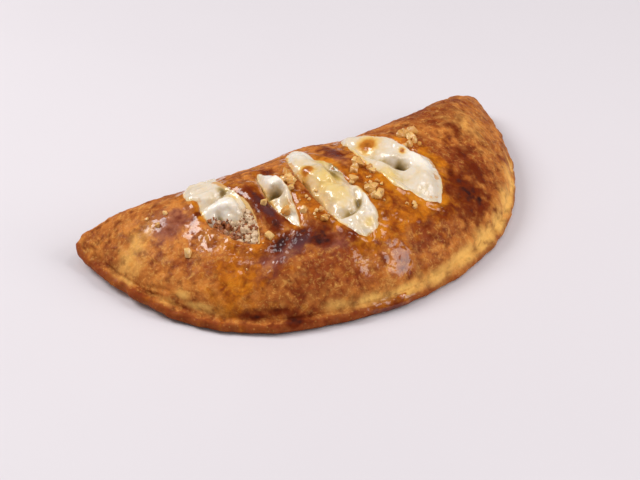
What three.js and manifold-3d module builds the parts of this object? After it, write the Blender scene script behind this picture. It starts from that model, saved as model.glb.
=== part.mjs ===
// A baked calzone: a round of dough folded over its filling into a half moon and sealed along the
// curved edge, with four cuts across the ridge where melted cheese has welled out.
// Millimetres. +X runs along the fold from tip to tip, -Y points from the fold to the sealed edge,
// +Z is up, and the origin is the middle of the footprint, on the surface that it rests on.
import * as THREE from "three";
import { mergeVertices } from "three/addons/utils/BufferGeometryUtils.js";
import Module from "manifold-3d";

const wasm = await Module();
wasm.setup();

// The shape in plan. Angles are in radians from +X, about the middle of the fold.
const REACH = 115; // from the middle of the fold to the sealed edge, before the bulges
const BULGES = [
  { angle: -2.38, rise: 11, spread: 0.6 }, // the full front left
  { angle: -1.6, rise: 2.5, spread: 0.3 }, // the front
  { angle: -0.1, rise: 5, spread: 0.35 }, // the right tip
  { angle: -Math.PI, rise: 3.5, spread: 0.18 }, // the left tip
];
const FOLD_Y = 3; // where the fold would run if it were straight
const FOLD_HOLLOWS = [
  { x: 46, depth: 17, spread: 60 },
  { x: -52, depth: 9, spread: 42 },
];
const TIP_RADIUS = 9; // rounding of the two tips
const CENTRE = new THREE.Vector2(0, -50); // inside the half moon, where its rings of points close

// The shape in section.
const CROWN = 40; // highest level of the crust
const DOUGH = 5.5; // thickness of the top layer
const BASE = 4; // thickness of the bottom layer
const LIP_WIDTH = 5; // the pressed seal round the curved edge
const LIP_LEVEL = 6;
const SEAL_EDGE = 3; // level at which the sealed edge is widest
const FOLD_EDGE = 10; // level at which the fold is widest
const SEAL_TUCK = 3.5; // how far the sealed edge turns under, from its widest to its foot
const FOLD_TUCK = 7; // the same at the fold
const SEAL_RUN = 72; // distance in which the crust climbs from the seal to its full height
const FOLD_RUN = 44; // the same from the fold
const SEAL_WALL = 13; // solid dough between the sealed edge and the filling
const FOLD_WALL = 7; // the same at the fold
const SHOULDER_POWER = 2.2; // 2 would make the shoulders elliptical
const CHANGEOVER = 36; // distance over which the sealed edge turns into the fold, at the tips
const CREASE = 1.2; // depth of the groove inside the lip
const CREASE_SPREAD = 1.8;
const CUT_DIP = 2.6; // how far the dough dips towards the cuts
const CUT_DIP_SPREAD = 0.62; // as a share of a cut's width and length
const SWELLING = 0.9; // height of the broad unevenness of the dough
const RIPPLE = 0.6; // height of the finer unevenness
const GAP = 0.3; // kept between touching pieces

// The cuts from left to right: middle, length and opening, and how far the cheese spills past them.
const CUTS = [
  { x: -65, y: -51, length: 48, width: 20, turn: 4, spill: 2 },
  { x: -41, y: -57, length: 42, width: 10, turn: -5, spill: 1 },
  { x: -17, y: -62, length: 68, width: 20, turn: -2, spill: 3 },
  { x: 23, y: -62, length: 60, width: 26, turn: 9, spill: 3 },
];
const CHEESE_HEAP = 3; // how far the cheese stands above the crust
const CHEESE_DEPTH = DOUGH + 2; // how far it reaches down from there
const MEAT_SINK = 3; // how far the filling in the first cut lies below the crust
const MEAT_START = 0.22; // its middle lies this share of the cut's length in front of the cut's
const MEAT_LENGTH = 0.62; // its length as a share of the cut's

// Density of the points.
const SPOKES = 80;
const TIP_ANGLE = 0.42; // direction of the right tip from CENTRE
const TIP_SPREAD = 0.16; // angle over which the spokes stand closer together there
const RIM_INSETS = [0, 0.5, 1.4, 3, 5, 6.6, 9, 13, 19]; // rings of points, in from the edge
const DOME_RINGS = 8;
const UNDER_TURNS = [0.35, 0.7, 1]; // rings under the edge, as shares of the quarter turn there
const CAVITY_RINGS = [0.18, 0.36, 0.54, 0.7, 0.84, 0.94, 1]; // as shares of the reach
const HEAP_TOP_RINGS = [0.3, 0.6, 0.82, 0.95];
const HEAP_UNDER_RINGS = [1, 0.82, 0.6, 0.3];
const HEAP_SPOKES = 28;

const lerp = THREE.MathUtils.lerp;
const clamp01 = (v) => THREE.MathUtils.clamp(v, 0, 1);
const smooth = (v) => THREE.MathUtils.smoothstep(v, 0, 1);
const bell = (v, width) => Math.exp(-((v / width) ** 2));

// Distance from the middle of the fold to the sealed edge.
const sealRadius = (angle) =>
  BULGES.reduce((sum, bulge) => sum + bulge.rise * bell(angle - bulge.angle, bulge.spread), REACH);

// The fold bows in between the tips.
const foldLine = (x) =>
  FOLD_HOLLOWS.reduce((sum, hollow) => sum - hollow.depth * bell(x - hollow.x, hollow.spread), FOLD_Y);

const fromSeal = (x, y) => sealRadius(Math.atan2(Math.min(y, -1e-6), x)) - Math.hypot(x, Math.min(y, 0));
const fromFold = (x, y) => foldLine(x) - y;

// How far a point of the plan lies inside the outline, whose two corners are rounded.
function inside(x, y) {
  const seal = TIP_RADIUS - fromSeal(x, y);
  const fold = TIP_RADIUS - fromFold(x, y);
  return TIP_RADIUS - Math.hypot(Math.max(seal, 0), Math.max(fold, 0)) - Math.min(Math.max(seal, fold), 0);
}

// 0 at the sealed edge and 1 at the fold.
const foldShare = (x, y) => smooth(0.5 + (fromSeal(x, y) - fromFold(x, y)) / CHANGEOVER);

// A rounded shoulder: upright at the edge, and level once the run is over.
const shoulder = (distance, run) => Math.sqrt(1 - (1 - clamp01(distance / run)) ** SHOULDER_POWER);

// A point's place across and along a cut.
function placeInCut(cut, x, y) {
  const turn = THREE.MathUtils.degToRad(cut.turn);
  const along = new THREE.Vector2(x - cut.x, y - cut.y).rotateAround(new THREE.Vector2(), -turn);
  return { across: along.x, along: along.y };
}

// The dough dips towards each cut, so that the bands between the cuts stand up.
function dipAt(x, y) {
  return CUTS.reduce((sum, cut) => {
    const { across, along } = placeInCut(cut, x, y);
    const width = CUT_DIP_SPREAD * cut.width;
    const length = CUT_DIP_SPREAD * cut.length;
    return sum + CUT_DIP * bell(across, width) * bell(along, length);
  }, 0);
}

// Gentle hollows and swellings of hand-made dough.
const unevenness = (x, y) =>
  SWELLING * Math.sin(x / 17 + 1) * Math.cos(y / 13) + RIPPLE * Math.sin(x / 8 - y / 11);

// Level of the top of the crust over a point of the plan.
function topLevel(x, y) {
  const share = foldShare(x, y);
  const edge = lerp(SEAL_EDGE, FOLD_EDGE, share);
  const start = lerp(LIP_LEVEL, FOLD_EDGE, share);
  const front = shoulder(fromSeal(x, y) - LIP_WIDTH * (1 - share), SEAL_RUN);
  const back = shoulder(fromFold(x, y), FOLD_RUN);
  const dome = (CROWN - start + unevenness(x, y) - dipAt(x, y)) * front * back;
  const groove = CREASE * (1 - share) * bell(fromSeal(x, y) - LIP_WIDTH, CREASE_SPREAD);
  const roundOver = Math.sqrt(1 - (1 - clamp01(inside(x, y) / (LIP_LEVEL - SEAL_EDGE))) ** 2);
  return edge + (start - edge + dome - groove) * roundOver;
}

const pointOnSpoke = (angle, reach) => ({
  x: CENTRE.x + reach * Math.cos(angle),
  y: CENTRE.y + reach * Math.sin(angle),
});

// The outline on a spoke: the distance from CENTRE at which the spoke leaves the half moon.
function spokeLength(angle) {
  let near = 0;
  let far = 2 * REACH;
  for (let i = 0; i < 40; i++) {
    const middle = (near + far) / 2;
    const { x, y } = pointOnSpoke(angle, middle);
    if (inside(x, y) > 0) near = middle;
    else far = middle;
  }
  return near;
}

// A closed body from rings of points, listed from the top pole to the bottom one.
function bodyOfRings(top, rings, bottom) {
  const spokes = rings[0].length;
  const points = [top, ...rings.flat(), bottom];
  const faces = [];
  const at = (ring, spoke) => 1 + ring * spokes + (spoke % spokes);
  for (let s = 0; s < spokes; s++) {
    faces.push(0, at(0, s), at(0, s + 1));
    for (let r = 0; r + 1 < rings.length; r++) {
      faces.push(at(r, s), at(r + 1, s), at(r + 1, s + 1));
      faces.push(at(r, s), at(r + 1, s + 1), at(r, s + 1));
    }
    faces.push(points.length - 1, at(rings.length - 1, s + 1), at(rings.length - 1, s));
  }
  const geometry = new THREE.BufferGeometry().setFromPoints(points);
  geometry.setIndex(faces);
  return geometry;
}

// Directions all round, three times as close together towards the two tips as elsewhere.
function spokeAngles(count) {
  const near = (tip, angle) => 2 * bell(angle - tip, TIP_SPREAD);
  const closeness = (angle) => 1 + near(TIP_ANGLE, angle) + near(Math.PI - TIP_ANGLE, angle);
  const steps = 720;
  const sums = [0];
  for (let i = 0; i < steps; i++) sums.push(sums[i] + closeness((2 * Math.PI * i) / steps));
  return Array.from({ length: count }, (_, k) => {
    const goal = (sums[steps] * k) / count;
    const i = sums.findIndex((sum) => sum > goal) - 1;
    return (2 * Math.PI * (i + (goal - sums[i]) / (sums[i + 1] - sums[i]))) / steps;
  });
}

// The whole outside of the crust, lifted all over by a small distance.
function crustBody(lift) {
  const spokes = spokeAngles(SPOKES).map((angle) => ({ angle, length: spokeLength(angle) }));
  const ring = (reachOf, levelOf) =>
    spokes.map(({ angle, length }) => {
      const { x, y } = pointOnSpoke(angle, reachOf(length));
      return new THREE.Vector3(x, y, levelOf(x, y));
    });
  const top = (x, y) => topLevel(x, y) + lift;
  const domeReach = (length) => length - RIM_INSETS.at(-1);
  const dome = Array.from({ length: DOME_RINGS - 1 }, (_, i) =>
    ring((length) => (domeReach(length) * (i + 1)) / DOME_RINGS, top),
  );
  const rim = RIM_INSETS.toReversed().map((inset) => ring((length) => length + lift - inset, top));
  const under = UNDER_TURNS.map((turn) =>
    spokes.map(({ angle, length }) => {
      const edge = pointOnSpoke(angle, length);
      const share = foldShare(edge.x, edge.y);
      const tuck = lerp(SEAL_TUCK, FOLD_TUCK, share) * (1 - Math.cos((turn * Math.PI) / 2));
      const level = lerp(SEAL_EDGE, FOLD_EDGE, share) * (1 - Math.sin((turn * Math.PI) / 2));
      const { x, y } = pointOnSpoke(angle, length + lift - tuck);
      return new THREE.Vector3(x, y, level);
    }),
  );
  return bodyOfRings(
    new THREE.Vector3(CENTRE.x, CENTRE.y, top(CENTRE.x, CENTRE.y)),
    [...dome, ...rim, ...under],
    new THREE.Vector3(CENTRE.x, CENTRE.y, 0),
  );
}

// The space inside the dough, drawn in all round by a small distance.
function cavityBody(shrink) {
  const spokes = spokeAngles(SPOKES / 2).map((angle) => {
    const length = spokeLength(angle);
    const { x, y } = pointOnSpoke(angle, length);
    return { angle, length: length - lerp(SEAL_WALL, FOLD_WALL, foldShare(x, y)) - shrink };
  });
  const floor = BASE + shrink;
  const ceiling = (x, y) => Math.max(topLevel(x, y) - DOUGH - shrink, floor + 1);
  const ring = (part, levelOf) =>
    spokes.map(({ angle, length }) => {
      const { x, y } = pointOnSpoke(angle, part * length);
      return new THREE.Vector3(x, y, levelOf(x, y));
    });
  return bodyOfRings(
    new THREE.Vector3(CENTRE.x, CENTRE.y, ceiling(CENTRE.x, CENTRE.y)),
    [...CAVITY_RINGS.map((part) => ring(part, ceiling)), ring(1, () => floor)],
    new THREE.Vector3(CENTRE.x, CENTRE.y, floor),
  );
}

// An upright prism with the pointed outline of a cut, narrowed all round by a small distance.
function cutPrism(cut, shrink, bottom = BASE + DOUGH, top = 2 * CROWN) {
  const half = cut.length / 2 - shrink;
  const pull = cut.width - 2 * shrink; // a quadratic curve reaches half way to its control point
  const outline = new THREE.Shape();
  outline.moveTo(0, -half);
  outline.quadraticCurveTo(pull, 0, 0, half);
  outline.quadraticCurveTo(-pull, 0, 0, -half);
  const depth = top - bottom;
  const prism = new THREE.ExtrudeGeometry(outline, { depth, bevelEnabled: false, curveSegments: 12 });
  prism.rotateZ(THREE.MathUtils.degToRad(cut.turn));
  prism.translate(cut.x, cut.y, bottom);
  return prism;
}

// Melted cheese heaped over a cut, before it is fitted to the dough.
function cheeseHeap(cut) {
  const turn = THREE.MathUtils.degToRad(cut.turn);
  const ring = (part, levelOf) =>
    Array.from({ length: HEAP_SPOKES }, (_, i) => {
      const angle = (2 * Math.PI * i) / HEAP_SPOKES;
      const across = part * (cut.width / 2 + cut.spill) * Math.cos(angle);
      const along = part * (cut.length / 2 + cut.spill) * Math.sin(angle);
      const place = new THREE.Vector2(across, along).rotateAround(new THREE.Vector2(), turn);
      const x = cut.x + place.x;
      const y = cut.y + place.y;
      return new THREE.Vector3(x, y, levelOf(x, y, part));
    });
  const top = (x, y, part) => topLevel(x, y) + CHEESE_HEAP * Math.sqrt(1 - part ** 2);
  const bottom = (x, y) => topLevel(x, y) - CHEESE_DEPTH;
  return bodyOfRings(
    new THREE.Vector3(cut.x, cut.y, top(cut.x, cut.y, 0)),
    [
      ...HEAP_TOP_RINGS.map((part) => ring(part, top)),
      ...HEAP_UNDER_RINGS.map((part) => ring(part, bottom)),
    ],
    new THREE.Vector3(cut.x, cut.y, bottom(cut.x, cut.y)),
  );
}

// A closed geometry as a manifold solid, and back.
function solidOf(geometry) {
  const bare = geometry.clone();
  bare.deleteAttribute("normal");
  bare.deleteAttribute("uv");
  const merged = mergeVertices(bare, 1e-4);
  return new wasm.Manifold(
    new wasm.Mesh({
      numProp: 3,
      vertProperties: merged.attributes.position.array,
      triVerts: new Uint32Array(merged.index.array),
    }),
  );
}

function geometryOf(solid) {
  const mesh = solid.getMesh();
  const geometry = new THREE.BufferGeometry();
  geometry.setAttribute("position", new THREE.BufferAttribute(mesh.vertProperties, 3));
  geometry.setIndex(new THREE.BufferAttribute(mesh.triVerts, 1));
  geometry.computeVertexNormals();
  return geometry;
}

// The crust: one folded piece of dough, hollow where the filling lies and open at the cuts.
function makeCrust(cavity) {
  const cuts = CUTS.map((cut) => solidOf(cutPrism(cut, 0)));
  return cuts.reduce((left, cut) => left.subtract(cut), solidOf(crustBody(0)).subtract(cavity));
}

// The filling that stands in the lower half of a cut, grown all round by a small distance.
function meatInCut(cut, grow) {
  const lowerHalf = { ...cut, y: cut.y - MEAT_START * cut.length, length: MEAT_LENGTH * cut.length };
  return solidOf(cutPrism(lowerHalf, -grow, BASE + 2 * DOUGH, CROWN))
    .intersect(solidOf(cutPrism(cut, GAP - grow)))
    .intersect(solidOf(crustBody(grow - MEAT_SINK)));
}

// The filling, which also shows in the first cut.
function makeFilling() {
  return solidOf(cavityBody(GAP)).add(meatInCut(CUTS[0], 0));
}

// The cheese in a cut: the heap less the dough around it and the filling under it.
function makeCheese(cut, cavity) {
  const dough = solidOf(crustBody(GAP)).subtract(solidOf(cutPrism(cut, GAP)));
  const cheese = solidOf(cheeseHeap(cut)).subtract(dough).subtract(cavity);
  return cut === CUTS[0] ? cheese.subtract(meatInCut(cut, GAP)) : cheese;
}

const material = (color, roughness) => new THREE.MeshStandardMaterial({ color, roughness, metalness: 0 });
const materials = {
  crust: material(0xb8691f, 0.5),
  filling: material(0x8a5a3c, 0.6),
  cheese: material(0xf0e8d0, 0.35),
};

function meshOf(name, solid, finish) {
  const mesh = new THREE.Mesh(geometryOf(solid), finish);
  mesh.name = name;
  return mesh;
}

const cavity = solidOf(cavityBody(0));
const calzone = new THREE.Group();
calzone.add(meshOf("crust", makeCrust(cavity), materials.crust));
calzone.add(meshOf("filling", makeFilling(), materials.filling));
CUTS.forEach((cut, i) => {
  calzone.add(meshOf(`cheese_${i + 1}`, makeCheese(cut, cavity), materials.cheese));
});

// The origin goes to the middle of the footprint.
const middle = new THREE.Box3().setFromObject(calzone).getCenter(new THREE.Vector3());
calzone.position.set(-middle.x, -middle.y, 0);

export default calzone;
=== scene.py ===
"""A baked calzone: mottled dough with four cuts, melted cheese, minced meat, chopped nuts and honey.

Lengths written as bare numbers are millimetres, and a place (x, y) is counted from the middle of the
fold: x towards the blunt right tip, and -y towards the sealed edge. MM turns them into metres.
"""

import math
import random

import bpy
import numpy as np
from mathutils import Matrix, Vector
from mathutils.bvhtree import BVHTree


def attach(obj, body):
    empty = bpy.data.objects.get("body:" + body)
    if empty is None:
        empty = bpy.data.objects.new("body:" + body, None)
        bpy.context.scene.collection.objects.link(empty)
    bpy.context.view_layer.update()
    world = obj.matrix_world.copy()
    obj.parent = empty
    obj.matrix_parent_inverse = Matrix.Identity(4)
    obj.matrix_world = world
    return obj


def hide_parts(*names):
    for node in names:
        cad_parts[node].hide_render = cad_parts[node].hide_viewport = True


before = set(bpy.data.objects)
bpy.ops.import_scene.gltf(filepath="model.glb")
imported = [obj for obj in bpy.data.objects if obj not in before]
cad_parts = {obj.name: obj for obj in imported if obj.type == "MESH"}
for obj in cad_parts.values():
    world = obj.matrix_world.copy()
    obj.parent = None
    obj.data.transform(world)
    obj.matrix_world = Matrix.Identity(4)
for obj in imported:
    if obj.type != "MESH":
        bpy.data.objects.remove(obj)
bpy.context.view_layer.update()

MM = 0.001
FOLD_MIDDLE = np.array([0.6, 58.9, 0.0])  # in the frame, where the box's middle is the origin

# The four cuts, as in the frame: middle, length along the cut, opening, and turn in degrees.
CUTS = [
    dict(x=-65, y=-51, length=48, width=20, turn=4),
    dict(x=-41, y=-57, length=42, width=10, turn=-5),
    dict(x=-17, y=-62, length=68, width=20, turn=-2),
    dict(x=23, y=-62, length=60, width=26, turn=9),
]

# How finely each piece is meshed.
DOUGH_MESH = 0.72
CHEESE_MESH = 0.5
CORE_MESH = 0.8
HONEY_MESH = 0.3


# ------------------------------------------------------------------ handling pieces


def take(piece):
    """Makes a piece the active one, and the only one selected."""
    bpy.ops.object.select_all(action="DESELECT")
    piece.select_set(True)
    bpy.context.view_layer.objects.active = piece


def modify(piece, kind, **settings):
    """Adds a modifier with its settings and applies it."""
    take(piece)
    modifier = piece.modifiers.new(kind.lower(), kind)
    for name, value in settings.items():
        setattr(modifier, name, value)
    bpy.ops.object.modifier_apply(modifier=modifier.name)


def run_into_one(piece, mesh):
    """Makes one closed skin of all that a piece holds, with a mesh so many millimetres wide."""
    modify(piece, "REMESH", mode="VOXEL", voxel_size=mesh * MM)


def soften(piece, rounds, where=""):
    """Smooths a piece, or only where a vertex group of it says."""
    modify(piece, "SMOOTH", factor=0.5, iterations=rounds, vertex_group=where)


def join(pieces, name):
    """Joins pieces into the first one."""
    bpy.ops.object.select_all(action="DESELECT")
    for piece in pieces:
        piece.select_set(True)
    bpy.context.view_layer.objects.active = pieces[0]
    bpy.ops.object.join()
    pieces[0].name = name
    return pieces[0]


def copy_of(solid, swollen=0.0):
    """A merged copy of a solid of the frame, swollen by so many millimetres."""
    piece = bpy.data.objects.new(solid + "_start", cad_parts[solid].data.copy())
    bpy.context.scene.collection.objects.link(piece)
    piece.data.materials.clear()
    take(piece)
    bpy.ops.object.mode_set(mode="EDIT")
    bpy.ops.mesh.select_all(action="SELECT")
    bpy.ops.mesh.remove_doubles(threshold=0.01 * MM)
    if swollen:
        bpy.ops.transform.shrink_fatten(value=swollen * MM)
    bpy.ops.object.mode_set(mode="OBJECT")
    return piece


def copies(model, places, name, tones=None):
    """One piece that holds a copy of the model at each place, which is a 4 by 4 matrix.

    Each copy may have a tone of its own from 0 to 1, for the finish to read.
    """
    spots = np.empty(len(model.data.vertices) * 3)
    model.data.vertices.foreach_get("co", spots)
    spots = np.c_[spots.reshape(-1, 3), np.ones(len(spots) // 3)]
    faces = [tuple(face.vertices) for face in model.data.polygons]
    points = np.concatenate([spots @ np.array(place).T for place in places])[:, :3]
    sides = [tuple(v + k * len(spots) for v in face) for k in range(len(places)) for face in faces]
    mesh = bpy.data.meshes.new(name)
    mesh.from_pydata(points.tolist(), [], sides)
    piece = bpy.data.objects.new(name, mesh)
    bpy.context.scene.collection.objects.link(piece)
    if tones:
        mark(piece, "tone", np.repeat(tones, len(spots)))
    return piece


def remove(piece):
    bpy.data.objects.remove(piece)


# ------------------------------------------------------------------ shaping by place


def spots_of(piece):
    """The vertices in millimetres from the middle of the fold, as rows of x, y, z."""
    flat = np.empty(len(piece.data.vertices) * 3)
    piece.data.vertices.foreach_get("co", flat)
    return flat.reshape(-1, 3) / MM - FOLD_MIDDLE


def put_spots(piece, spots):
    """Moves the vertices to places given as spots_of gives them."""
    piece.data.vertices.foreach_set("co", ((spots + FOLD_MIDDLE) * MM).ravel())
    piece.data.update()


def normals_of(piece):
    """The vertex normals, as rows of x, y, z."""
    flat = np.empty(len(piece.data.vertices) * 3)
    piece.data.vertex_normals.foreach_get("vector", flat)
    return flat.reshape(-1, 3)


def swell(piece, rise):
    """Moves each vertex along its normal by its own rise, in millimetres."""
    put_spots(piece, spots_of(piece) + normals_of(piece) * rise[:, None])


def wobble(spots, length):
    """A smooth random-looking number for each spot, about -1 to 1, over so many millimetres."""
    x, y, z = (spots / length).T
    slow = np.sin(1.3 * x + 2.1 * y - 1.7 * z) + np.sin(2.3 * y - 0.9 * x + 1.9 * z + 1.3)
    return (slow + np.sin(3.1 * x + 1.1 * y + 2.7 * z + 4.0) * np.sin(1.9 * x - 2.9 * y + 0.7)) / 2.2


def bell(value):
    """1 at 0, falling off smoothly to both sides."""
    return np.exp(-(value**2))


def ramp(value, low, high):
    """0 up to low, 1 from high, and a smooth climb between them."""
    share = np.clip((value - low) / (high - low), 0, 1)
    return share * share * (3 - 2 * share)


def patch(spots, x, y, long, wide, turn, z=None, high=None):
    """A soft spot of strength 1 at (x, y), with half-lengths along a turned axis and across it.

    On the steep sides it also has a level and a half-height.
    """
    angle = math.radians(turn)
    dx, dy = spots[:, 0] - x, spots[:, 1] - y
    along = dx * math.cos(angle) + dy * math.sin(angle)
    across = dy * math.cos(angle) - dx * math.sin(angle)
    upright = 0 if z is None else (spots[:, 2] - z) / high
    return np.exp(-((along / long) ** 2) - (across / wide) ** 2 - upright**2)


def patches(spots, listed):
    """The strongest of several patches, each given as its strength and where it is."""
    return np.max([strength * patch(spots, *where) for strength, *where in listed], axis=0)


def mark(piece, name, values):
    """Stores a number for each vertex, for the finish to read."""
    layer = piece.data.attributes.new(name, "FLOAT", "POINT")
    layer.data.foreach_set("value", np.clip(values, 0, 1).astype(np.float32))


def group(piece, name, weights):
    """A vertex group with a weight for each vertex, in steps of a tenth."""
    made = piece.vertex_groups.new(name=name)
    steps = np.round(np.clip(weights, 0, 1) * 10).astype(int)
    for step in range(1, 11):
        made.add(np.flatnonzero(steps == step).tolist(), step / 10, "REPLACE")
    return made.name


def place_in(cut, x, y):
    """How far places lie across and along a cut from its middle."""
    angle = math.radians(cut["turn"])
    dx, dy = x - cut["x"], y - cut["y"]
    across = dx * math.cos(angle) + dy * math.sin(angle)
    along = dy * math.cos(angle) - dx * math.sin(angle)
    return across, along


def place_out(cut, across, along):
    """The place at so much across and along a cut."""
    angle = math.radians(cut["turn"])
    return (
        cut["x"] + across * math.cos(angle) - along * math.sin(angle),
        cut["y"] + across * math.sin(angle) + along * math.cos(angle),
    )


def opening(cut, along):
    """Half the opening of a cut, at so much along it: a lens with pointed ends."""
    return cut["width"] / 2 * (1 - (2 * along / cut["length"]) ** 2)


def curve_through(points, closed=False, steps=8):
    """A smooth curve through a few points, as rows of x, y."""
    given = np.array(points, float)
    count = len(given)
    rows = []
    for k in range(count if closed else count - 1):
        near = [(k + j) % count if closed else min(max(k + j, 0), count - 1) for j in (-1, 0, 1, 2)]
        p0, p1, p2, p3 = given[near]
        for t in np.arange(steps) / steps:
            bend = (p2 - p0) * t + (2 * p0 - 5 * p1 + 4 * p2 - p3) * t**2
            rows.append(p1 + 0.5 * (bend + (3 * p1 - p0 - 3 * p2 + p3) * t**3))
    if not closed:
        rows.append(given[-1])
    return np.array(rows)


def distance_to(curve, spots, closed=False):
    """How far spots lie from a curve, in plan if that is flat; for a closed one, minus outside it."""
    starts = curve if closed else curve[:-1]
    ends = np.roll(curve, -1, axis=0) if closed else curve[1:]
    places = spots[:, : curve.shape[1]]
    nearest = np.full(len(places), 1e9)
    inside = np.zeros(len(places), bool)
    for start, end in zip(starts, ends):
        side = end - start
        share = np.clip((places - start) @ side / (side @ side), 0, 1)
        gap = places - start - share[:, None] * side
        nearest = np.minimum(nearest, np.linalg.norm(gap, axis=1))
        crosses = (start[1] > places[:, 1]) != (end[1] > places[:, 1])
        at = start[0] + (places[:, 1] - start[1]) * side[0] / (side[1] if side[1] else 1e-9)
        inside ^= crosses & (places[:, 0] < at)
    if closed:
        return np.where(inside, nearest, -nearest)
    return nearest


def ridge(spots, width, *points):
    """1 on a smooth curve through points, falling to 0 at the width from it."""
    return ramp(width - distance_to(curve_through(points), spots), 0, width)


class Ground:
    """The top of one or more pieces, to set things down on."""

    def __init__(self, *pieces):
        points, faces = [], []
        for piece in pieces:
            start = len(points)
            points += [tuple(p) for p in spots_of(piece)]
            faces += [[start + v for v in face.vertices] for face in piece.data.polygons]
        self.tree = BVHTree.FromPolygons(points, faces)

    def below(self, x, y):
        """The level and normal of the top at a place, or the floor's outside the piece."""
        hit, normal, _, _ = self.tree.ray_cast(Vector((x, y, 90)), Vector((0, 0, -1)))
        return (hit.z, normal) if hit else (0.0, Vector((0, 0, 1)))

    def bridged(self, x, y):
        """The same level, but running straight across the cuts from lip to lip."""
        for cut in CUTS:
            across, along = place_in(cut, x, y)
            lip = opening(cut, along) + 1.5
            if abs(across) < lip:
                left, _ = self.below(*place_out(cut, -lip, along))
                right, _ = self.below(*place_out(cut, lip, along))
                return left + (right - left) * (across + lip) / (2 * lip)
        return self.below(x, y)[0]


# ------------------------------------------------------------------ the dough


def shape_dough():
    """The folded dough as one skin, with a pit at each cut where the filling lies under it."""
    dough = join([copy_of("crust"), copy_of("filling", swollen=0.6)], "dough")
    run_into_one(dough, DOUGH_MESH)
    dome = group(dough, "dome", ramp(spots_of(dough)[:, 2], 6, 14))
    soften(dough, 30, dome)
    soften(dough, 4)
    return dough


def sealed_edge(spots):
    """How far each spot lies inside the sealed edge, from the furthest spot in each sector of plan."""
    sectors = 360
    angle = np.arctan2(spots[:, 1], spots[:, 0])
    reach = np.hypot(spots[:, 0], spots[:, 1])
    bins = np.linspace(-math.pi, math.pi, sectors + 1)
    place = np.digitize(angle, bins) - 1
    furthest = np.array([reach[place == k].max(initial=0) for k in range(sectors)])
    return np.interp(angle, (bins[:-1] + bins[1:]) / 2, furthest) - reach


def around_cuts(spots):
    """How far each spot lies outside the nearest cut's edge: negative inside a cut."""
    nearest = np.full(len(spots), 99.0)
    for cut in CUTS:
        across, along = place_in(cut, spots[:, 0], spots[:, 1])
        beyond = np.maximum(np.abs(along) - cut["length"] / 2, 0)
        edge = np.abs(across) - np.maximum(opening(cut, along), 0)
        nearest = np.minimum(nearest, np.hypot(np.maximum(edge, 0), beyond) + np.minimum(edge, 0))
    return nearest


# Rise or dent of the dough in mm, where, half-lengths along a turned axis and across it, and turn.
SWELLINGS = [
    (1.6, -51, -52, 4, 18, 0),
    (1.2, -31, -58, 4, 16, 0),
    (1.6, 1, -48, 5, 18, 0),
    (-1.4, -84, -60, 12, 8, 30),
    (-1.2, -50, -82, 10, 5, 10),
    (1.3, -62, -90, 14, 6, 10),
    (-1.0, -25, -104, 8, 6, 0),
    (1.2, 30, -100, 16, 7, 20),
    (-1.0, 60, -60, 10, 10, 0),
    (0.9, 78, -30, 12, 16, 0),
    (0.9, -61, -87, 5, 1.0, 12),
    (0.9, -57, -84.5, 5, 1.0, 22),
    (0.9, -52, -82, 5, 1.0, 30),
    (0.8, -47, -80, 4, 1.0, 38),
    (0.9, -81, -61, 5, 1.1, 70),
    (0.9, -77, -58, 6, 1.1, 62),
    (0.8, -73, -63, 5, 1.0, 72),
    (-2.2, 45.6, -77.7, 1.8, 1.8, 0),
    (-1.8, 50, -81, 1.5, 1.5, 0),
    (-1.5, 40, -91, 1.5, 1.5, 0),
]

# Creases in the seam: depth, width, and the line each follows round the left and the front, with its
# level.
CREASES = [
    (1.0, 1.6, (-110.5, -36, 8.4), (-107, -46, 9), (-104.5, -53, 10.5)),
    (1.7, 1.8, (-104.5, -55, 11.3), (-101, -62.2, 11), (-97.8, -69, 9.8), (-93.8, -75.3, 8.6)),
    (1.1, 1.5, (-95, -74, 8.5), (-89, -81.8, 7.6), (-83, -87.5, 8)),
    (1.5, 1.6, (-113, -20, 7), (-111, -32, 6), (-108.7, -44, 6.6), (-105.6, -53.6, 7), (-99, -68.5, 6)),
    (
        1.4, 1.5,
        (-96.4, -75, 5.4), (-89.4, -85, 5.7), (-82.7, -91.3, 5.7), (-74, -98.4, 5.8), (-66, -102, 5.8),
    ),
    (0.9, 1.6, (-79, -90, 9.5), (-70, -97, 10), (-60, -101, 9)),
    (0.9, 1.4, (-60, -104, 5.2), (-46, -109.5, 5), (-32, -113.5, 4.5)),
]


def sculpt_dough(dough):
    """Puffs the lips of the cuts, sets the dents and swellings, and roughens the seam and skin.

    The flat underside then gets larger faces, and nothing is left under the floor.
    """
    spots = spots_of(dough)
    outside = around_cuts(spots)
    on_top = ramp(spots[:, 2], 14, 24)
    lips = 1.1 * bell((outside - 3) / 3.2) * on_top
    swell(dough, lips + sum(rise * patch(spots, *where) for rise, *where in SWELLINGS) * on_top)
    shape_seam(dough)
    skin = group(dough, "skin", ramp(spots_of(dough)[:, 2], 0.5, 3))
    roughen(dough, "swellings", "CLOUDS", 15, 1.5, skin)
    roughen(dough, "bubbles", "CLOUDS", 5, 0.6, skin)
    roughen(dough, "blisters", "VORONOI", 2.4, -0.4, skin)
    filmed = group(dough, "filmed", patches(spots_of(dough), WET))
    soften(dough, 4, filmed)
    wrinkled = group(dough, "wrinkled", patches(spots_of(dough), WRINKLED))
    roughen(dough, "wrinkles", "CLOUDS", 2.4, 1.3, wrinkled)
    underside = group(dough, "underside", 1 - ramp(spots_of(dough)[:, 2], 0.4, 0.9))
    modify(dough, "DECIMATE", ratio=0.6, vertex_group=underside)
    spots = spots_of(dough)
    spots[:, 2] = np.maximum(spots[:, 2], 0)
    put_spots(dough, spots)


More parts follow.
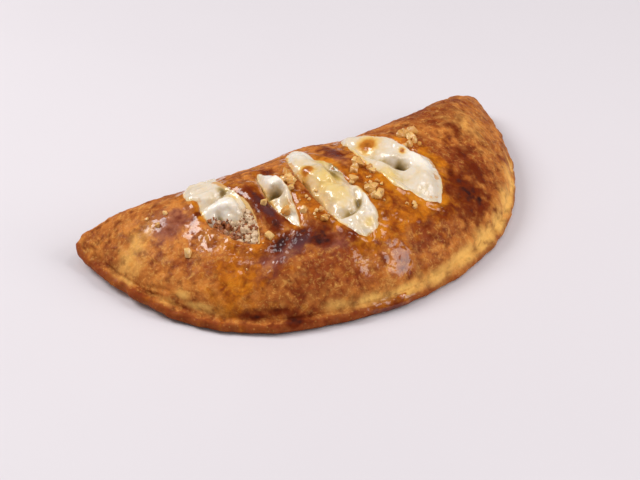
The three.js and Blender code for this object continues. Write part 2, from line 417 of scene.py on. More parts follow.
def shape_seam(dough):
    """Fills the even crease of the lip, waves and creases the sealed edge, and lifts the left tip.

    The edge is drawn outwards a little at both tips, and at the right it is smoothed into the body.
    """
    spots = spots_of(dough)
    inwards = sealed_edge(spots)
    front = spots[:, 1] < 10
    side = ramp(spots[:, 2], 0.3, 2) * ramp(26 - inwards, 0, 8) * front
    left = ramp(-spots[:, 0], 20, 60)
    fill = (2.3 - 1.3 * left) * bell((inwards - 5.2) / 2.8)
    waves = 0.5 * wobble(spots, 9) + 0.45 * wobble(spots, 4.5)
    edge = waves * bell((inwards - 0.5) / 2.5)
    folds = 0.5 * wobble(spots, 5) * bell((inwards - 4) / 4) * left
    shaken = spots + 0.7 * np.c_[wobble(spots, 6), wobble(spots + 50, 6), wobble(spots + 90, 6)]
    broken = 0.45 + 0.55 * ramp(wobble(spots, 11), -0.5, 0.5)
    creases = sum(depth * ridge(shaken, width, *line) for depth, width, *line in CREASES)
    swell(dough, side * (fill + edge + folds - creases * broken))
    spots = spots_of(dough)
    wider = 2.0 * bell((spots[:, 0] + 92) / 40) + 2.5 * bell((spots[:, 0] - 58) / 38)
    outwards = spots[:, :2] / np.hypot(spots[:, 0], spots[:, 1])[:, None]
    spots[:, :2] += outwards * (wider * ramp(18 - inwards, 0, 12) * ramp(-spots[:, 1], 8, 40))[:, None]
    spots[:, 2] += 3.0 * ramp(-spots[:, 0], 100, 119) * (1 - ramp(spots[:, 2], 5, 20))
    put_spots(dough, spots)
    soften(dough, 1)
    closed = group(dough, "closed", bell((inwards - 5.4) / 3.6) * (1 - 0.8 * left) * front)
    soften(dough, 30, closed)


def roughen(piece, name, kind, grain, height, vertex_group=""):
    """Displaces a piece by a pattern with a grain and a height in millimetres."""
    pattern = bpy.data.textures.new(name, kind)
    pattern.noise_scale = grain * MM
    modify(
        piece,
        "DISPLACE",
        texture=pattern,
        strength=height * MM,
        mid_level=0.5,
        vertex_group=vertex_group,
        texture_coords="LOCAL",
    )


# Patches of each look on the dough: strength, where, half-lengths and turn; low on the sides also the
# level and half-height.
BROWNED = [
    (0.55, -96, -56, 8, 7, 0),
    (0.9, -40, -98, 34, 9, 5),
    (0.8, -62, -90, 12, 7, 10),
    (0.9, 8, -102, 14, 8, 20),
    (0.9, 24, -96, 10, 8, 20),
    (0.95, 68, -30, 22, 20, 0),
    (0.5, -113, -28, 6, 8, 0),
    (0.9, 58, -70, 16, 16, 30),
    (0.6, -113, -22, 5, 8, 0),
    (0.8, -36, -36, 8, 8, 0),
    (0.9, -50, -50, 6, 14, 0),
    (0.8, 40, -40, 9, 7, 0),
    (0.9, 45, -60, 7, 18, 20),
    (0.7, -34, -60, 4, 12, 0),
    (0.7, -34, -106, 10, 6, 10),
    (0.7, 60, -42, 12, 9, 0),
    (0.7, -4, -112, 9, 5, 0, 14, 5),
    (0.7, 92, -20, 8, 12, 0),
]
SCORCHED = [
    (0.4, -88, -38, 7, 6, 30),
    (1.15, -55, -80, 9, 4, 10),
    (1.2, -46, -82.5, 9, 4.5, 15),
    (0.9, -36, -84, 8, 5, 15),
    (1.3, -50.6, -59, 3.6, 13, 3),
    (1.0, -52, -70, 4, 7, 0),
    (0.7, -45.5, -70, 3, 7, 0),
    (0.7, -35, -38, 4, 6, 0),
    (0.75, 0, -38, 6, 6, 0),
    (0.8, 2, -44, 5, 5, 0),
    (1.2, -39, -87, 9, 4, -20),
    (0.8, -24, -92, 8, 4, -10),
    (0.92, 47, -88, 12, 12, 20),
    (0.9, 45.6, -78, 3, 4, 0),
    (1.1, 51, -92, 4, 3, 40),
    (0.75, 60, -78, 10, 8, 40),
    (0.7, 60, -66, 7, 6, 40),
    (0.7, 41, -97, 9, 6, 20),
    (0.55, 28, -98, 7, 5, 20),
    (0.5, 66, -52, 8, 8, 40),
    (1.2, -77, -92.5, 6, 6, 0, 8, 1.8),
    (1.2, -63.5, -104, 6, 6, 0, 5.6, 1.6),
    (0.8, -70, -99, 6, 6, 0, 10, 2),
    (0.5, 14, -99, 6, 4, 0),
    (1.2, -76.5, -43.5, 2.2, 1.8, 0),
    (0.9, -20, -117, 9, 9, 0, 2.5, 1.8),
]
# Purple-brown patches; their pinkish colour also paints a sheen of reflected light.
DUSKY_SHEEN = [
    (1.0, -88, -37, 10, 9, 30),
    (0.6, -80, -44, 7, 10, 30),
    (0.9, 0, -44, 5, 10, 0),
    (0.8, -36, -42, 4, 7, 0),
    (0.9, -62, -84, 12, 5, 10),
    (0.9, -34, -90, 12, 5, -20),
    (0.9, -50, -60, 3, 12, 3),
    (0.6, -16, -92, 8, 8, 0),
]
# Painted sheen: a purplish grey laid over dark patches in place of a bluish reflection.
PAINTED_SHEEN = [
    (1.0, -52, -85, 12, 4, 12),
    (0.8, -50.6, -60, 2.5, 9, 3),
    (0.6, 1, -41, 3, 6, 0),
    (0.3, -36, -40, 3, 5, 0),
]
HONEYED = [
    (1.1, 4, -74, 8, 22, 0),
    (1.1, 10, -91, 18, 8, 5),
    (0.9, -12, -98, 9, 6, 10),
    (0.9, -6, -100, 5, 10, 10),
    (1.0, -47, -56, 3, 15, 4),
    (0.9, -66, -76, 10, 4, 5),
    (0.85, -80, -80, 11, 12, 0),
    (0.9, -30, -72, 5, 16, 0),
    (0.9, -20, -98, 8, 4, 10),
    (0.8, -57, -26, 4, 8, 0),
    (0.8, -77, -44, 4, 6, 0),
    (0.9, 42, -66, 4, 16, 20),
    (0.8, 46, -84, 7, 8, 20),
    (0.8, 30, -95, 12, 5, 20),
    (0.8, -20, -118, 10, 5, 0, 4.5, 3),
]
WET = [
    (1.3, -78, -57, 7, 13, 20),
    (1.2, -55, -82, 14, 7, 10),
    (1.3, -10, -108, 7, 6, 0),
    (1.3, -24, -103, 6, 6, 0),
    (1.3, -20, -118, 11, 5, 0, 4.5, 3),
    (0.8, -44, -56, 12, 24, 0),
    (0.8, 6, -78, 12, 18, 0),
    (0.8, 12, -92, 14, 6, 10),
    (0.7, -78, -80, 11, 11, 0),
    (0.7, -70, -72, 12, 7, 10),
    (0.7, -36, -42, 4, 8, 0),
    (0.6, 0, -42, 6, 9, 0),
    (0.6, -92, -32, 8, 6, 0),
    (0.9, -32, -60, 4, 7, 0),
    (0.7, 42, -62, 4, 12, 20),
]
WRINKLED = [
    (1.0, -78, -58, 7, 13, 20),
    (0.6, -10, -108, 7, 6, 0),
    (0.6, -24, -103, 7, 6, 0),
    (0.7, -56, -84, 11, 6, 10),
    (0.9, -32, -60, 3, 8, 0),
    (0.6, -72, -76, 12, 6, 0),
    (0.6, -46, -66, 4, 8, 0),
    (0.6, -93, -31, 5, 4, 0),
]
PALE = [
    (0.44, -104, -32, 13, 9, 30),
    (0.35, 78, -48, 9, 14, 0),
    (0.8, -103, -60, 5, 5, 0, 8, 2),
    (1.0, -98, -66.5, 5, 5, 0, 12.5, 2.5),
    (1.0, -94, -73, 7, 7, 0, 9.5, 2.2),
    (0.9, -110.5, -37, 5, 5, 0, 7.5, 2),
    (0.7, -88, -82, 6, 6, 0, 8.5, 2),
    (0.7, -42, -108, 8, 8, 0, 9, 3),
    (0.9, -30, -111, 9, 9, 0, 8, 3),
    (0.8, -12, -114, 14, 12, 0, 7, 4),
    (0.8, 8, -112, 14, 12, 0, 7, 5),
    (0.9, 26, -107, 12, 12, 0, 7.5, 5.5),
    (1.1, 42, -101, 11, 11, 0, 7, 6.5),
    (1.1, 56, -94, 10, 10, 0, 7, 6.5),
    (1.1, 70, -84, 10, 10, 0, 7.5, 7),
    (1.0, 82, -74, 9, 9, 0, 7.5, 7),
    (0.7, 94, -60, 9, 9, 0, 7, 6),
]


def mark_dough(dough):
    """Where the dough has each look: browned, scorched, pale, honeyed, wet, cut open and so on, and where a
    sheen is painted.

    Honey also lies around the shore of each cheese, and the sealed edge and underside are browned.
    """
    spots = spots_of(dough)
    inwards = sealed_edge(spots)
    outside = around_cuts(spots)
    shore = np.max([distance_to(curve_through(c["outline"], True), spots, True) for c in CHEESES], axis=0)
    for look, listed in dict(browned=BROWNED, scorched=SCORCHED, dusky_sheen=DUSKY_SHEEN, painted_sheen=PAINTED_SHEEN).items():
        mark(dough, look, patches(spots, listed))
    honeyed = patches(spots, HONEYED)
    mark(dough, "honeyed", np.maximum(honeyed, (0.35 + honeyed) * ramp(shore, -5, -0.5)))
    mark(dough, "amber", (0.3 + honeyed) * ramp(shore, -4, -0.2))
    mark(dough, "wet", np.maximum(patches(spots, WET), 0.6 * ramp(shore, -6, -1)))
    mark(dough, "pale", patches(spots, PALE) * (outside > 8))
    mark(dough, "crumb", ramp(-outside, -0.4, 0.6) * ramp(spots[:, 2], 14, 20))
    right = ramp(spots[:, 0], -35, 25)
    mark(dough, "rim", bell(inwards / (2.0 - 0.7 * right)) * (1 - 0.45 * right))
    mark(dough, "under", ramp(-spots[:, 2], -2.5 + 1.5 * right, -0.2))


# ------------------------------------------------------------------ the cheese

# Each cheese: its outline from above, ridges and grooves (rise, width, line), swellings and hollows
# (rise, where), and where it is yellow with honey, tanned, darkened by painted shade in its hollows,
# browned to caramel, or made whiter, partly as painted light on lobes that face away from the lights.
CHEESES = [
    dict(
        outline=[
            (-50, -20), (-57, -17), (-64, -18), (-71, -21.5), (-75.5, -27.5), (-76.5, -33), (-74, -37),
            (-75, -41), (-76.2, -45.5), (-74.8, -50), (-72, -53), (-70, -52.5), (-68, -56), (-65, -58.6),
            (-61.5, -58.5), (-58.3, -57), (-55.2, -52.5), (-54, -45), (-54.8, -38), (-55, -28),
        ],
        ridges=[
            (1.6, 5.5, (-74, -45.5), (-69, -46.5), (-64, -49), (-61.5, -54)),
            (-3.0, 3.2, (-71, -41), (-66, -41), (-61, -39.5)),
            (-1.6, 2.6, (-59, -55), (-58.5, -47), (-58.5, -40)),
            (1.1, 2.0, (-66, -44.5), (-61, -45.5), (-59.5, -49)),
            (0.8, 1.6, (-69, -24), (-63, -26), (-58, -25)),
            (-0.9, 1.8, (-74, -30), (-68, -33), (-62, -33)),
            (-1.0, 1.6, (-71, -48), (-66.5, -50.5), (-64.5, -54)),
        ],
        bumps=[
            (1.6, -66, -28, 11, 9, 10),
            (-0.8, -59.5, -38, 3, 4, 0),
            (-4.5, -69.5, -51, 1.3, 2.2, 10),
            (0.9, -63, -50, 3, 3, 0),
        ],
        yellow=[(0.7, -75.5, -39, 3, 4, 0), (0.8, -59, -45, 3, 4, 0), (0.6, -56, -34, 2, 8, 0)],
        tanned=[(0.9, -76, -38, 3, 4, 0), (1.0, -58, -33, 2, 5, 20), (0.7, -73, -37, 3, 2, 0)],
        white_lit=[(1.0, -66.5, -46.5, 8, 4.5, -15)],
        hollow_shade=[(0.9, -59.5, -38, 2.5, 4, 0), (1.0, -69.5, -51, 1.6, 2.4, 0), (0.35, -65, -41, 6, 1.8, 0)],
    ),
    dict(
        outline=[
            (-38.5, -34), (-36.3, -37), (-34.6, -42), (-33.6, -48), (-33.8, -54), (-34.6, -59), (-36, -63.5),
            (-37.3, -68), (-38.8, -72), (-41, -77), (-43.9, -78), (-45.3, -73), (-45.3, -66),
            (-44.8, -60), (-44.4, -54), (-43.6, -49), (-42.6, -44), (-41, -38),
        ],
        ridges=[
            (2.6, 3.0, (-36.6, -48), (-35.8, -54), (-37, -59), (-39.4, -61)),
            (-2.2, 4.0, (-41, -57), (-42, -66), (-43.3, -73)),
        ],
        bumps=[
            (1.8, -39, -44.5, 4, 6, 0),
            (-8.5, -40.4, -53.4, 3.3, 1.7, -30),
            (1.4, -40.2, -50.2, 3.2, 1.4, -20),
            (0.6, -39.8, -47, 2, 2, 0),
        ],
        yellow=[(1.0, -44.5, -52, 1.8, 10, 0), (0.8, -42.5, -64, 4, 4, 0), (0.8, -45, -70, 1.6, 8, 0)],
        tanned=[(0.5, -40, -36, 3, 2, 0), (0.7, -38.5, -63, 2, 2, 0)],
        white_lit=[(1.0, -38, -47, 4, 6, 0), (0.6, -42, -71, 2, 4, 0)],
        hollow_shade=[(1.4, -40.4, -53.6, 3.6, 2.0, -30), (0.3, -43, -70, 1, 5, 0)],
    ),
    dict(
        outline=[
            (-20.5, -33), (-18, -27.5), (-12.5, -26), (-8.8, -29.5), (-8.3, -35), (-8.5, -41), (-5.6, -45),
            (-3.8, -51), (-4, -58), (-5, -64), (-5.4, -70), (-5.2, -76), (-5.2, -82), (-5.6, -88),
            (-8, -93), (-11.4, -96.3), (-15.4, -97.3), (-19.3, -96.8), (-22.2, -95), (-24, -91.5),
            (-25.4, -87), (-27, -81.8), (-25.5, -76), (-24.2, -70), (-23.4, -64), (-23.8, -59),
            (-22, -53.2), (-22.8, -48), (-24, -43), (-23.5, -38),
        ],
        ridges=[
            (-1.9, 2.6, (-8.5, -50), (-9.6, -57), (-11.2, -64.6)),
            (-0.9, 3.6, (-5.5, -48), (-6.3, -58), (-7, -66)),
            (1.2, 2.2, (-12.5, -49), (-13.2, -56), (-14.5, -62)),
            (-1.4, 2.6, (-22, -50), (-21.5, -57), (-22, -64)),
            (-1.6, 2.4, (-21.5, -61), (-17.5, -62.5), (-12.5, -63.5)),
            (-3.6, 3.4, (-8.8, -74), (-10.5, -79), (-16, -81.6), (-22, -81)),
            (1.6, 3.6, (-6.6, -73), (-7.6, -80), (-11, -85.5)),
            (-0.8, 1.4, (-12, -84), (-9, -92)),
            (-0.9, 1.4, (-15, -85), (-14, -96)),
            (-0.8, 1.4, (-18, -85), (-19, -95)),
            (-0.7, 1.4, (-21, -85), (-23, -91)),
        ],
        caramel=[(1.0, -18.6, -48.6, 3.5, 3.3, 0)],
        white_lit=[(0.7, -15, -33, 6, 6, 0), (0.6, -9, -82, 3, 7, 0)],
        bumps=[
            (1.8, -15.5, -33.5, 7, 8, 0),
            (-0.8, -18, -44, 5, 3, 0),
            (0.8, -18.6, -48.6, 3.5, 3.3, 0),
            (0.9, -16, -55, 4.5, 5, 0),
            (1.6, -15.5, -71, 5.5, 7, 10),
            (1.3, -15, -89, 9, 7, 0),
            (0.6, -14, -69.5, 2, 3, 0),
        ],
        yellow=[
            (1.0, -18.4, -60.3, 4, 2.4, 0), (0.9, -13.3, -63, 2.4, 2, 0), (0.6, -20, -67, 5, 6, 0),
            (1.0, -16.5, -61, 7, 9, 0), (0.8, -14, -91.7, 3, 2.5, 0), (0.7, -20, -47, 4, 4, 0),
            (0.7, -9, -46, 4, 4, 0), (0.45, -19, -77, 5, 4, 0), (0.75, -17, -70, 7, 9, 0),
        ],
        tanned=[
            (0.8, -17, -96.5, 10, 1.6, 0), (0.6, -5.5, -50, 2, 8, 0), (0.6, -22, -40, 2, 4, 0),
            (0.5, -26, -80, 1.6, 10, 0),
        ],
        hollow_shade=[
            (1.1, -9.4, -56, 2.2, 7, 0), (0.9, -6, -54, 2.5, 9, 0), (1.0, -10.8, -79, 3, 2, 60),
            (0.8, -18, -81.5, 6, 1.6, 0), (0.6, -8, -45, 3, 3, 0), (0.35, -14, -53, 6, 6, 0),
        ],
    ),
    dict(
        outline=[
            (12, -30), (9.8, -40), (8.6, -53), (9, -61), (9.2, -68.5), (8.6, -75), (9.6, -80), (13.2, -84.6),
            (17, -89), (20.5, -91.6), (25, -93.8), (29.5, -93), (33, -88.5), (37.3, -82), (39.5, -76),
            (40.8, -70), (40.2, -66), (37.6, -63), (35.3, -60.5), (35, -57), (33.5, -52.5), (33, -48.5),
            (31, -44.5), (28, -41.5), (25, -36.5), (22, -32.5), (17, -29.5),
        ],
        ridges=[
            (2.6, 7.0, (17, -35), (24, -42), (29, -51), (32, -59), (33.5, -67), (32, -76), (27, -83)),
            (-2.6, 5.0, (14.5, -50), (17, -56), (20, -62)),
            (-2.0, 5.5, (21, -68), (19, -74), (16, -80)),
            (-2.6, 3.0, (18.5, -60), (22, -64.5), (25, -67)),
            (0.9, 2.0, (11, -40), (9.8, -53), (10.3, -61), (10.6, -70), (10.6, -78)),
            (1.0, 3.2, (27.5, -70), (25.5, -77), (22, -83)),
        ],
        caramel=[(1.0, 18.4, -45.6, 4.9, 4.5, 0), (1.0, 28.8, -59.8, 1.4, 1.5, 0)],
        bumps=[
            (0.8, 18.4, -45.6, 4, 4, 0),
            (-6.5, 22.8, -65.4, 3.6, 1.6, -42),
            (0.7, 29, -74, 2.5, 6, -15),
            (1.6, 24, -61.8, 4, 1.7, -40),
        ],
        white_lit=[(0.8, 33, -69, 5, 10, 12)],
        yellow=[
            # The patch at (14.5, -71) yellows a fold in shade, partly as painted shade.
            (0.9, 10, -72, 3, 10, 0), (0.7, 14.5, -71, 4, 6, 0), (0.6, 14, -86, 6, 3, 0),
            (0.7, 9.5, -58, 2, 12, 0),
            (0.8, 18.4, -45.6, 5.5, 5.5, 0), (0.9, 28.8, -59.8, 1.8, 1.8, 0),
        ],
        tanned=[
            (0.75, 38.2, -71, 2, 8, 0), (0.65, 34.5, -80, 3, 4, 0), (0.9, 28.8, -59.8, 1.3, 1.6, 0),
            (0.5, 24, -89, 8, 1.6, 0), (0.5, 33, -47, 2, 4, 0), (0.5, 15.5, -62, 1.2, 1.2, 0),
        ],
        hollow_shade=[
            (1.6, 22.8, -65.6, 4.2, 2.0, -42), (0.62, 18.5, -59.5, 2.8, 5, 30), (0.5, 16, -54, 2.5, 4, 20),
            (0.25, 19, -74, 4, 6, 0),
        ],
    ),
]


NOWHERE = [(0, 0, 0, 1, 1, 0)]  # one patch without strength, for a look that a cheese hasn't got


def pool(name, ground, outline, rise, edge, shoulder, grain=0.6, depth=0.8, bridge=True):
    """Something soft that has run out on the ground, from its outline in plan.

    Its top lies a rise above the ground, bridged over the cuts, and dips by the edge depth at its
    shore, from a shoulder inside it. It sags more where the shore lies inside a cut. It goes down to
    the ground, into the cuts, and deeper by the depth. The grain is the width of its first grid.
    """
    sag_in_cut = 2.6
    shore = curve_through(outline, closed=True)
    low, high = shore.min(axis=0) - grain, shore.max(axis=0) + grain
    bpy.ops.object.select_all(action="DESELECT")
    steps = np.round((high - low) / grain).astype(int)
    bpy.ops.mesh.primitive_grid_add(x_subdivisions=steps[0], y_subdivisions=steps[1], size=MM)
    piece = bpy.context.object
    piece.name = name
    spots = spots_of(piece) + FOLD_MIDDLE
    spots[:, :2] = spots[:, :2] * (high - low) + (high + low) / 2
    inside = distance_to(shore, spots, closed=True)
    put_spots(piece, spots)
    bpy.ops.object.mode_set(mode="EDIT")
    bpy.ops.mesh.select_all(action="DESELECT")
    bpy.ops.object.mode_set(mode="OBJECT")
    piece.data.vertices.foreach_set("select", inside < 0)
    bpy.ops.object.mode_set(mode="EDIT")
    bpy.ops.mesh.delete(type="VERT")
    bpy.ops.mesh.select_all(action="SELECT")
    bpy.ops.mesh.extrude_region_move(TRANSFORM_OT_translate={"value": (0, 0, -MM)})
    bpy.ops.object.mode_set(mode="OBJECT")
    spots = spots_of(piece)
    inside = distance_to(shore, spots, closed=True)
    floors = np.array([ground.below(x, y)[0] for x, y in spots[:, :2]])
    levels = floors
    dip = edge * (1 - ramp(inside, 0, shoulder))
    if bridge:
        levels = np.array([ground.bridged(x, y) for x, y in spots[:, :2]])
        in_cut = ramp(-around_cuts(spots), -1, 1.5)
        dip = dip + sag_in_cut * in_cut * (1 - ramp(inside, 0, 2 * shoulder))
    tops = np.maximum(levels + rise(spots) - dip, floors - 0.6 + ramp(inside, 0.5, 2.5))
    lower = spots[:, 2] < spots[:, 2].mean()
    spots[:, 2] = np.where(lower, np.minimum(floors - depth, tops - 0.3), tops)
    put_spots(piece, spots)
    take(piece)
    bpy.ops.object.mode_set(mode="EDIT")
    bpy.ops.mesh.select_all(action="SELECT")
    bpy.ops.mesh.normals_make_consistent(inside=False)
    bpy.ops.object.mode_set(mode="OBJECT")
    return piece


def make_cheese(number, ground, cheese):
    """Melted cheese: a pool with folds and hollows, run together and softened."""

    def rise(spots):
        folds = sum(height * ridge(spots, width, *line) for height, width, *line in cheese["ridges"])
        return 0.5 + folds + sum(height * patch(spots, *where) for height, *where in cheese["bumps"])

    piece = pool(f"melted_cheese_{number}", ground, cheese["outline"], rise, edge=1.7, shoulder=2.6)
    run_into_one(piece, CHEESE_MESH)
    soften(piece, 8)
    roughen(piece, f"folds_{number}", "CLOUDS", 6, 1.3)
    roughen(piece, f"wrinkles_{number}", "CLOUDS", 2.4, 0.3)
    spots = spots_of(piece)
    shore = distance_to(curve_through(cheese["outline"], True), spots, True)
    for look in ("yellow", "tanned", "hollow_shade", "caramel", "white_lit"):
        mark(piece, look, patches(spots, cheese.get(look, NOWHERE)))
    mark(piece, "thin", (1 - ramp(shore, 0.3, 3.2)) * (0.55 + 0.45 * ramp(around_cuts(spots), -1.5, 0.5)))
    return piece


# ------------------------------------------------------------------ scattered things


def chip_model(seed, name):
    """A small angular chip, from a block whose corners are cut off at random."""
    dice = random.Random(seed)
    bpy.ops.object.select_all(action="DESELECT")
    bpy.ops.mesh.primitive_cube_add(size=MM)
    chip = bpy.context.object
    chip.name = name
    bpy.ops.object.mode_set(mode="EDIT")
    for _ in range(6):
        side = Vector([dice.uniform(-1, 1) for _ in range(3)]).normalized()
        bpy.ops.mesh.select_all(action="SELECT")
        bpy.ops.mesh.bisect(
            plane_co=side * dice.uniform(0.36, 0.52) * MM, plane_no=side, use_fill=True, clear_outer=True
        )
    bpy.ops.object.mode_set(mode="OBJECT")
    modify(chip, "BEVEL", width=0.06 * MM, segments=2)
    return chip


def set_down(ground, dice, x, y, size, sink=0.3):
    """A place on the ground with a random turn, sunk in by a share of the size."""
    level, normal = ground.below(x, y)
    middle = (Vector((x, y, level)) + normal * size * (0.5 - sink) + Vector(FOLD_MIDDLE)) * MM
    turn = Matrix.Rotation(dice.uniform(0, 2 * math.pi), 4, "Z")
    tip = Matrix.Rotation(dice.uniform(-0.8, 0.8), 4, Vector((dice.uniform(-1, 1), dice.uniform(-1, 1), 0.1)))
    scale = [size * dice.uniform(0.75, 1.15) for _ in range(3)]
    return Matrix.Translation(middle) @ turn @ tip @ Matrix.Diagonal((*scale, 1))


# Heaps of chopped nuts: how many, where, how far they spread each way, and their size.
NUT_HEAPS = [
    (9, 39.5, -48.5, 4.5, 5, 3.8),
    (3, 44.5, -46, 2, 2, 3.4),
    (3, 34.5, -54.5, 3, 2, 3.2),
    (2, 40.5, -55, 3, 2, 2.4),
    (3, 5, -57.5, 2, 2, 3.8),
    (2, 0, -61, 1.5, 1.5, 4.4),
    (3, 6, -65, 3, 2, 3.4),
    (2, -4, -67, 1, 1.5, 3.2),
    (7, -1, -79, 3, 3.5, 3.8),
    (1, 4, -73, 2, 2, 3.0),
    (4, -30, -50, 2.5, 2, 3.4),
    (4, -31, -54, 2, 2, 3.4),
    (3, -33, -57, 2, 1.5, 3.2),
    (3, -26, -50, 2.5, 2.5, 3.0),
    (1, -90, -56, 0.1, 0.1, 4.8),
    (1, -50, -58, 0.1, 0.1, 3.8),
    (1, -42.2, -65, 0.1, 0.1, 3.8),
    (1, -57.5, -74.5, 0.1, 0.1, 3.8),
    (1, -36.5, -71.5, 0.1, 0.1, 3.6),
    (1, -30.5, -80, 0.1, 0.1, 3.8),
    (2, -31, -74, 3, 5, 2.4),
    (1, -94, -26, 0.1, 0.1, 2.4),
    (1, -92.5, -33.5, 0.1, 0.1, 2.6),
    (1, -86.5, -31, 0.1, 0.1, 2.4),
    (3, 14, -90, 5, 2, 2.0),
    (8, 2, -70, 8, 16, 1.3),
    (8, -31, -62, 6, 20, 1.3),
    (3, -70, -80, 22, 12, 1.0),
]


def make_nuts(ground):
    """Chopped nuts, in loose heaps beside the cuts and here and there on the dough."""
    models = [chip_model(seed, f"chip_{seed}") for seed in (3, 5, 8, 13)]
    dice = random.Random(11)
    places = [[] for _ in models]
    for count, x, y, long, wide, size in NUT_HEAPS:
        for _ in range(count):
            spot = x + dice.gauss(0, long / 2), y + dice.gauss(0, wide / 2)
            grown = size * dice.uniform(0.7, 1.15)
            places[dice.randrange(len(models))].append(set_down(ground, dice, *spot, grown))
    heaps = [
        copies(model, spots, model.name + "s", [dice.random() for _ in spots])
        for model, spots in zip(models, places)
    ]
    nuts = join(heaps, "nuts")
    for model in models:
        remove(model)
    return nuts


# The core under the lumps of mince: places along it, its radius, and how deep its middle lies.
CORE = [(-68, -44, 6, 9.5), (-65, -54, 7, 10.5), (-63, -66, 5, 8.5)]

LUMPS = 380
LUMP_SIZES = (1.8, 2.4, 3.0, 4.2)
LUMP_DEPTH = 3.2  # under the lips of the cut


def make_core(ground):
    """The mass under the lumps: overlapping balls along the first cut, run together."""
    bpy.ops.object.select_all(action="DESELECT")
    bpy.ops.mesh.primitive_ico_sphere_add(subdivisions=3, radius=MM)
    ball = bpy.context.object
    places = []
    for start, end in zip(np.array(CORE), np.array(CORE[1:])):
        length = math.hypot(*(end - start)[:2])
        steps = round(length / (0.3 * min(start[2], end[2])))
        for share in np.arange(steps + 1) / steps:
            x, y, radius, depth = start + (end - start) * share
            middle = (Vector((x, y, ground.bridged(x, y) - depth)) + Vector(FOLD_MIDDLE)) * MM
            places.append(Matrix.Translation(middle) @ Matrix.Diagonal((radius, radius, radius, 1)))
    core = copies(ball, places, "core")
    remove(ball)
    run_into_one(core, CORE_MESH)
    soften(core, 4)
    return core


def lump_model():
    """A crumb of meat or cheese: a ball roughened by clouds."""
    bpy.ops.object.select_all(action="DESELECT")
    bpy.ops.mesh.primitive_ico_sphere_add(subdivisions=3, radius=0.42 * MM)
    lump = bpy.context.object
    roughen(lump, "crumb", "CLOUDS", 0.5, 0.7)
    roughen(lump, "grit", "CLOUDS", 0.2, 0.35)
    return lump


def make_mince(ground):
    """Crumbly minced meat and crumbs of cheese in the first cut, over a core that fills the cut.

    The crumbs of cheese, which have the higher tones, lie mostly towards the right of the cut.
    """
    lump = lump_model()
    dice = random.Random(23)
    cut = CUTS[0]
    places, tones = [], []
    for _ in range(LUMPS):
        along = dice.uniform(-23, 6)
        across = dice.uniform(-0.95, 0.95) * opening(cut, along)
        x, y = place_out(cut, across, along)
        size = dice.choice(LUMP_SIZES) * dice.uniform(0.8, 1.2)
        whiter = min(max(0.5 * dice.random() + 0.8 * (x + 70.5) / 9, 0), 1)
        tones.append(whiter if dice.random() < 0.75 else 0)
        level = ground.bridged(x, y) - LUMP_DEPTH + dice.uniform(-1.8, 0.9)
        middle = (Vector((x, y, level)) + Vector(FOLD_MIDDLE)) * MM
        turn = Matrix.Rotation(dice.uniform(0, 6), 4, Vector((dice.uniform(-1, 1), dice.uniform(-1, 1), 1)))
        scale = [size * dice.uniform(0.65, 1.2) for _ in range(3)]
        places.append(Matrix.Translation(middle) @ turn @ Matrix.Diagonal((*scale, 1)))
    mince = copies(lump, places, "mince", tones)
    remove(lump)
    return join([mince, make_core(ground)], "mince")


# Drops of honey: middle, half-length, half-width, turn, and how far each stands up.
HONEY_DROPS = [
    (-14, -117.6, 5, 1.9, 0, 0.8),
    (28.8, -59.8, 1.2, 1.4, 0, 0.9),
    (-76.5, -43.5, 1.6, 1.4, 0, 0.6),
    (-42.2, -65, 2.4, 2.4, 0, 0.5),
]


def make_honey(ground):
    """Drops of honey set into the cheese and run down to the seam."""
    drops = []
    for number, (x, y, long, wide, turn, height) in enumerate(HONEY_DROPS):
        turned = Matrix.Rotation(math.radians(turn), 2)
        ring = []
        for around in np.linspace(0, 2 * math.pi, 13)[:-1]:
            uneven = 1 + 0.16 * math.sin(3 * around + number)
            reach = Vector((long * math.cos(around), wide * math.sin(around))) * uneven
            ring.append(tuple(Vector((x, y)) + turned @ reach))
        drop = pool(
            f"drop_{number}",
            ground,
            ring,
            lambda spots: height - 0.5,
            edge=1.4,
            shoulder=1.6,
            grain=0.3,
            depth=0.5,
            bridge=False,
        )
        drops.append(drop)
    honey = join(drops, "honey")
    run_into_one(honey, HONEY_MESH)
    soften(honey, 8)
    return honey


# ------------------------------------------------------------------ finishes


def node(tree, kind, settings=None, **inputs):
    """Adds a shader node. An input is a value, or the socket of another node."""
    made = tree.nodes.new(kind)
    for name, value in (settings or {}).items():
        setattr(made, name, value)
    for name, value in inputs.items():
        socket = made.inputs[int(name[1:])] if name[0] == "_" else made.inputs[name.replace("_", " ")]
        if isinstance(value, bpy.types.NodeSocket):
            tree.links.new(value, socket)
        else:
            socket.default_value = value
    return made


def new_group(name, inputs, outputs):
    """A shader node group with named sockets: name to a default value, or to a socket type."""
    tree = bpy.data.node_groups.new(name, "ShaderNodeTree")
    for label, (kind, value) in inputs.items():
        socket = tree.interface.new_socket(label, in_out="INPUT", socket_type=kind)
        if value is not None:
            socket.default_value = value
    for label, kind in outputs.items():
        tree.interface.new_socket(label, in_out="OUTPUT", socket_type=kind)
    return tree, tree.nodes.new("NodeGroupInput").outputs, tree.nodes.new("NodeGroupOutput").inputs


def pattern_scale(tree, grain):
    """The scale of a pattern whose grain is in millimetres."""
    return node(tree, "ShaderNodeMath", {"operation": "DIVIDE"}, _0=1000.0, _1=grain).outputs[0]


def climb(tree, value, low, high):
    """0 at low, 1 at high, and smooth between them."""
    smooth = {"interpolation_type": "SMOOTHSTEP"}
    return node(tree, "ShaderNodeMapRange", smooth, Value=value, From_Min=low, From_Max=high).outputs[0]


def climb_around(tree, value, level, softness):
    """0 below a level and 1 above it, with so much softness to both sides."""
    low = node(tree, "ShaderNodeMath", {"operation": "SUBTRACT"}, _0=level, _1=softness)
    high = node(tree, "ShaderNodeMath", {"operation": "ADD"}, _0=level, _1=softness)
    return climb(tree, value, low.outputs[0], high.outputs[0])


